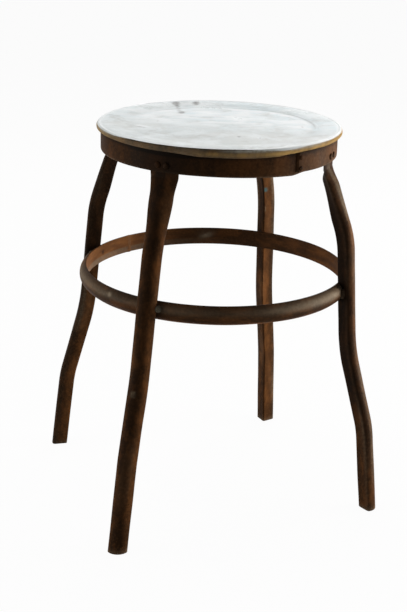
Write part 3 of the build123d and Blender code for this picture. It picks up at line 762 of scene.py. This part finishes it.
def legPaint(name, height, columns, seed, w):
    # lips, corners, foot and scuffs of every leg, painted shade inside the fold and under the seat, then the
    # marks of this one: rust, scuffs, a fleck, painted shade and painted highlights
    H = height[:, None]
    v = np.linspace(0, 1, columns)
    ring = np.concatenate([v, v[::-1]])[None]
    outside = np.repeat([1.0, 0.0], columns)[None]
    lips = sum(bump(ring, place, w["lipWidth"]) for place in (0, 1))
    corners = sum(bump(ring, place, w["cornerWidth"]) for place in w["corners"])
    lumps = ripple(H / w["scuffTall"], w["scuffRound"] * ring, seed + w["scuffSeed"])
    scuffs = eased(w["scuffGain"] * lumps, *w["scuffZone"])
    wearAndHighlight = w["cornerWorn"] * corners * (w["cornerEven"] + scuffs)
    wearAndHighlight = wearAndHighlight + w["footWorn"] * bump(H, 0, w["footTall"]) + w["scuffWorn"] * scuffs
    # painted shade inside the fold, and towards the top under the seat
    shade = w["innerShade"] * (1 - outside) + w["topShade"] * eased(H, *w["topZone"]) * outside
    orange = w["scuffOrange"] * scuffs + w["lipOrange"] * lips
    paint = dict(wearAndHighlight=wearAndHighlight * outside, shade=shade, orange=orange * outside, fleck=0.0)
    for kind, place, width, middle, tall, strength in legMarks[name]:
        upright = eased(np.abs(H - middle), tall, w["markCore"] * tall)
        paint[kind] = paint[kind] + strength * plateau(ring, place, width) * upright * outside
    return {kind: np.clip(value, 0, 1) for kind, value in paint.items()}


def legSurface(name, bend, s, seed):
    height, radius, share = bentLine(s, bend)
    loop = legLoop(s, height, share, seed)
    steep = np.hypot(1, np.gradient(radius, height))  # a level slice through a leaning leg is longer
    t = np.radians(bend["turn"] * eased(share, 0, s["crimp"]))[:, None]
    across = loop[..., 0] * np.cos(t) + loop[..., 1] * np.sin(t)
    outward = -loop[..., 0] * np.sin(t) + loop[..., 1] * np.cos(t)
    over = np.interp(height, (0, ringSize["height"], s["shiftTop"]), (bend["overFoot"], 0, bend["overTop"]))
    R = radius[:, None] + outward * steep[:, None]
    points = placed(R, across + over[:, None], height[:, None], bend["azimuth"])
    rows, columns = R.shape
    j = np.arange(columns // 2 - 1)
    cap = np.stack([j, j + 1, columns - 2 - j, columns - 1 - j], -1)
    caps = [cap, cap[:, ::-1] + (rows - 1) * columns]
    paint = legPaint(name, height, columns // 2, seed, legWear)
    return dict(points=points, closeColumns=True, caps=caps, paint=paint)


for k, (name, bend) in enumerate(legBends.items()):
    surface = legSurface(name, bend, legSize, legSize["seed"] + k)
    makePiece("leg." + name, [surface], legSteel, ["leg_" + name], 45)
print("stage 5: legs made")


# Rivets: a turned profile set along a radius of the seat
# dark and rim are painted shade over the head and round its rim, crest a painted highlight on the dome; the
# front-left pair and the lower lap rivet are painted darker into the shade
rivetSize = dict(
    shank=2.5, head=4.5, tall=2.2, innerTall=0.8, height=525.5, outside=169.0, inside=160.4, clear=0.05,
    spread=13.0, uneven=0.04, dark=0.25, crest=0.35, rim=0.5, rimWidth=0.9, rows=10, turns=28)
darkRivet = dict(rivetSize, dark=0.85, crest=0.0, rim=0.0)
lapRivetSize = dict(
    rivetSize, shank=2.0, head=3.2, tall=1.2, outside=172.05, inside=165.9, inset=6.0, gap=7.5,
    crest=0.0, rim=0.15)
lapRivetDark = {-1: 0.3, 1: 0.0}  # lower and upper one


def rivetGrid(s, azimuth, height):
    # head outside as a dome, shank, and a flatter head inside, turned about the radius
    q = np.linspace(0, np.pi / 2, s["rows"])
    dome = s["outside"] + s["tall"] * np.cos(q)
    innerHead = s["inside"] - s["innerTall"] * s["tall"] * np.sin(q)
    depth = np.concatenate([dome, [s["outside"], s["inside"] + s["clear"]], innerHead])[:, None]
    wide = np.concatenate([s["head"] * np.sin(q), [s["shank"], s["shank"]], s["head"] * np.cos(q)])[:, None]
    turn = (np.arange(s["turns"]) * 2 * np.pi / s["turns"])[None]
    dull = 1 + s["uneven"] * np.sin(3 * turn + azimuth)
    across, up = wide * np.cos(turn) * dull, wide * np.sin(turn) * dull
    # painted highlight on the crest, painted shade over the head and round its rim
    wearAndHighlight = s["crest"] * eased(wide, s["head"], 0)
    shade = s["dark"] + s["rim"] * bump(wide, s["head"], s["rimWidth"])
    points = placed(depth, across, height + up, azimuth)
    return dict(points=points, closeColumns=True, paint=dict(wearAndHighlight=wearAndHighlight, shade=shade))


half = np.degrees(rivetSize["spread"] / rivetSize["outside"]) / 2
for name, bend in legBends.items():
    finish = darkRivet if name == "front_left" else rivetSize
    pair = [rivetGrid(finish, bend["azimuth"] + side * half, finish["height"]) for side in (-1, 1)]
    makePiece("legRivets." + name, pair, bandSteel, ["leg_rivets_" + name], 45)
lapMiddle = bandSize["top"] - bandSize["tall"] / 2
lapAzimuth = bandSize["lap"] + np.degrees(lapRivetSize["inset"] / bandSize["outside"])
lapPair = []
for side, dark in lapRivetDark.items():
    height = lapMiddle + side * lapRivetSize["gap"]
    lapPair.append(rivetGrid(dict(lapRivetSize, dark=dark), lapAzimuth, height))
makePiece("lapRivets", lapPair, bandSteel, ["lap_rivets"], 45)


# Weld beads: lumpy upright drops in the corners between ring and legs, and one round the ring's joint
weldSize = dict(wide=4.4, tall=7.3, offset=1.5, lumps=0.13, blunt=0.7, dark=0.3, rows=22, turns=30, seed=80)
weldWear = dict(  # for the two beads of each leg: wear, rise, share of the full height
    front_left=((0.2, 0, 1), (0.7, 5.0, 0.62)), front_right=((0.1, 0, 1), (0.1, 0, 1)),
    back_right=((0.2, 0, 1), (0.2, 0, 1)), back_left=((0.2, 0, 1), (0.2, 0, 1)))


def weldGrid(s, azimuth, across, reach, seed, wear):
    # egg-shaped drop with a seeded ripple on its skin
    wearAndHighlight, rise, share = wear
    lift = np.linspace(-np.pi / 2, np.pi / 2, s["rows"])[:, None]
    turn = (np.arange(s["turns"]) * 2 * np.pi / s["turns"])[None]
    lumps = ripple(4 * lift + 2 * np.cos(turn), 3 * np.sin(turn) + lift, seed)
    wide = s["wide"] * np.cos(lift) ** s["blunt"] * (1 + s["lumps"] * lumps * np.cos(lift))
    height = ringSize["height"] + rise + share * s["tall"] * np.sin(lift)
    points = placed(reach + wide * np.cos(turn), across + wide * np.sin(turn), height, azimuth)
    return dict(points=points, closeColumns=True, paint=dict(wearAndHighlight=wearAndHighlight, shade=s["dark"] * (1 - wearAndHighlight)))


def weldSpots(turn):
    # distances across a leg at which its two flats cross the ring's crown
    halfWidth, ridge = legOutlines["full"]["halfWidth"], legOutlines["full"]["ridge"]
    crown = ringSize["inside"] + ringSize["deep"] - legSize["ringReach"]
    t = np.radians(turn)
    spots = []
    for side in (-1, 1):
        outward, across = -side * halfWidth * np.sin(t), side * halfWidth * np.cos(t)
        share = np.clip((outward - crown) / (outward + ridge * np.cos(t)), 0, 1)
        spots.append(across + share * (-ridge * np.sin(t) - across) + side * weldSize["offset"])
    return spots


reach = ringSize["inside"] + ringSize["deep"]
for k, (name, bend) in enumerate(legBends.items()):
    beads = []
    for i, across in enumerate(weldSpots(bend["turn"])):
        seed = weldSize["seed"] + 2 * k + i
        beads.append(weldGrid(weldSize, bend["azimuth"], across, reach, seed, weldWear[name][i]))
    makePiece("ringWelds." + name, beads, weldSteel, ["ring_welds_" + name], 60)

jointSize = dict(
    halfTurn=1.0, swell=0.45, fall=0.98, lumps=0.12, lumpTall=3.0, seed=12, least=0.02, most=0.9,
    middle=0.4, rows=15, wearAndHighlight=0.1, orange=0.5, orangeZone=(3, 1))


def jointBead(s, joint):
    # the ring's own outline, grown by a swelling that dies out to both sides of the joint
    x, y = ringSection(s)
    along = np.linspace(-1, 1, joint["rows"])[:, None]
    lumps = ripple(4 * along, y / joint["lumpTall"], joint["seed"])
    swell = joint["swell"] * np.sqrt(1 - joint["fall"] * along**2) + joint["lumps"] * lumps
    swell = np.clip(swell, joint["least"], joint["most"])
    out = x - joint["middle"] * s["deep"]
    far = np.hypot(out, y)
    R = s["inside"] + x + out / far * swell
    Z = s["height"] + y + y / far * swell
    A = s["joint"] + along * joint["halfTurn"]
    paint = dict(wearAndHighlight=joint["wearAndHighlight"], orange=joint["orange"] * eased(x, *joint["orangeZone"]))
    return dict(points=placed(R, 0, Z, A), closeColumns=True, caps=endCaps(*R.shape), paint=paint)


makePiece("ringJoint", [jointBead(ringSize, jointSize)], ringSteel, ["ring_joint_weld"], 60)
for name in ("rim_wire", "seat_tacks"):
    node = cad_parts[name]
    node.data.materials.clear()
    node.data.materials.append(weldSteel)
print("stage 6: rivets and welds made")


# Stage: pale floor, soft studio light, camera at the photograph's angle
stageLook = dict(floor=(0.86, 0.86, 0.85), glow=0.96, size=14.0)


def seenDirectly(tree):
    # 1 for camera, mirror and glass rays
    path = tree.nodes.new("ShaderNodeLightPath")
    both = combine(tree, "MAXIMUM", path.outputs["Is Camera Ray"], path.outputs["Is Glossy Ray"])
    return combine(tree, "MAXIMUM", both, path.outputs["Is Transmission Ray"])


def mixShaders(tree, share, a, b, end):
    # shader a where share is 0, shader b where it is 1, led to the end node
    mix = newNode(tree, "ShaderNodeMixShader", {0: share, 1: a.outputs[0], 2: b.outputs[0]})
    tree.links.new(mix.outputs[0], tree.nodes[end].inputs["Surface"])


def paleFloor(s):
    mesh = bpy.data.meshes.new("floor")
    corner = s["size"] * np.array([[-1, -1, 0], [1, -1, 0], [1, 1, 0], [-1, 1, 0]])
    mesh.from_pydata(corner.tolist(), [], [[0, 1, 2, 3]])
    material = bpy.data.materials.new("floorWhite")
    material.use_nodes = True
    tree = material.node_tree
    tree.nodes.remove(tree.nodes["Principled BSDF"])
    plain = newNode(tree, "ShaderNodeBsdfDiffuse", {"Color": (*s["floor"], 1)})
    glow = newNode(tree, "ShaderNodeEmission", {"Color": (1, 1, 1, 1)})
    share = combine(tree, "MULTIPLY", seenDirectly(tree), s["glow"])
    mixShaders(tree, share, plain, glow, "Material Output")
    mesh.materials.append(material)
    floor = bpy.data.objects.new("floor", mesh)
    bpy.context.scene.collection.objects.link(floor)


paleFloor(stageLook)

worldLook = dict(light=(1.0, 1.0, 1.0), strength=0.11)
world = bpy.data.worlds.new("studio")
bpy.context.scene.world = world
world.use_nodes = True
sky = world.node_tree
ambient = sky.nodes["Background"]
ambient.inputs["Color"].default_value = (*worldLook["light"], 1)
ambient.inputs["Strength"].default_value = worldLook["strength"]
white = newNode(sky, "ShaderNodeBackground", {"Color": (1, 1, 1, 1), "Strength": 1})
mixShaders(sky, seenDirectly(sky), ambient, white, "World Output")

lampSet = dict(  # place and aim in metres, width, height, power, colour
    keyBehindRight=((1.5, 1.5, 2.1), (0, 0, 0.45), 1.6, 1.6, 24, (1.0, 0.99, 0.97)),
    topSoft=((-0.3, 0.5, 2.6), (0, 0, 0.5), 2.0, 2.0, 20, (0.97, 0.99, 1.0)),
    rearGlow=((0.75, 2.0, 1.2), (0, 0, 0.5), 1.3, 1.3, 3.5, (0.96, 0.99, 1.0)),
    sideRight=((1.95, -0.42, 0.32), (0, 0, 0.32), 1.4, 0.6, 50, (1.0, 0.97, 0.93)),
    sideLeft=((-2.0, 0.35, 0.32), (0, 0, 0.32), 1.4, 0.6, 20, (1.0, 0.98, 0.95)))


def turnedTo(right, up, back, place):
    # matrix with these three axes at a place
    turned = np.eye(4)
    turned[:3, :3] = np.stack([right, up, back], -1)
    turned[:3, 3] = place
    return Matrix(turned.tolist())


for name, (place, aim, width, height, power, colour) in lampSet.items():
    data = bpy.data.lights.new(name, "AREA")
    data.shape = "RECTANGLE"
    data.size, data.size_y, data.energy, data.color = width, height, power, colour
    lamp = bpy.data.objects.new(name, data)
    back = np.subtract(place, aim) / np.linalg.norm(np.subtract(place, aim))
    side = np.cross((0, 0, 1), back)
    side /= np.linalg.norm(side)
    lamp.matrix_world = turnedTo(side, np.cross(back, side), back, place)
    bpy.context.scene.collection.objects.link(lamp)

cameraSet = dict(
    place=(-0.6588, -1.7248, 0.9291), heading=20.63, pitch=19.44, roll=-1.68, lens=77.165, sensor=36)


def photoCamera(s):
    # heading from +Y towards +X, pitch down and roll give the three axes of the view
    h, p, r = np.radians((s["heading"], s["pitch"], s["roll"]))
    ahead = np.array([np.sin(h) * np.cos(p), np.cos(h) * np.cos(p), -np.sin(p)])
    right = np.array([np.cos(h), -np.sin(h), 0])
    down = np.cross(ahead, right)
    across, below = np.cos(r) * right + np.sin(r) * down, np.cos(r) * down - np.sin(r) * right
    data = bpy.data.cameras.new("photoCamera")
    data.lens, data.sensor_width = s["lens"], s["sensor"]
    camera = bpy.data.objects.new("photoCamera", data)
    camera.matrix_world = turnedTo(across, -below, -ahead, s["place"])
    bpy.context.scene.collection.objects.link(camera)
    bpy.context.scene.camera = camera


photoCamera(cameraSet)
bpy.context.scene.view_settings.view_transform = "Standard"
print("stage 7: stage, lamps and camera set")
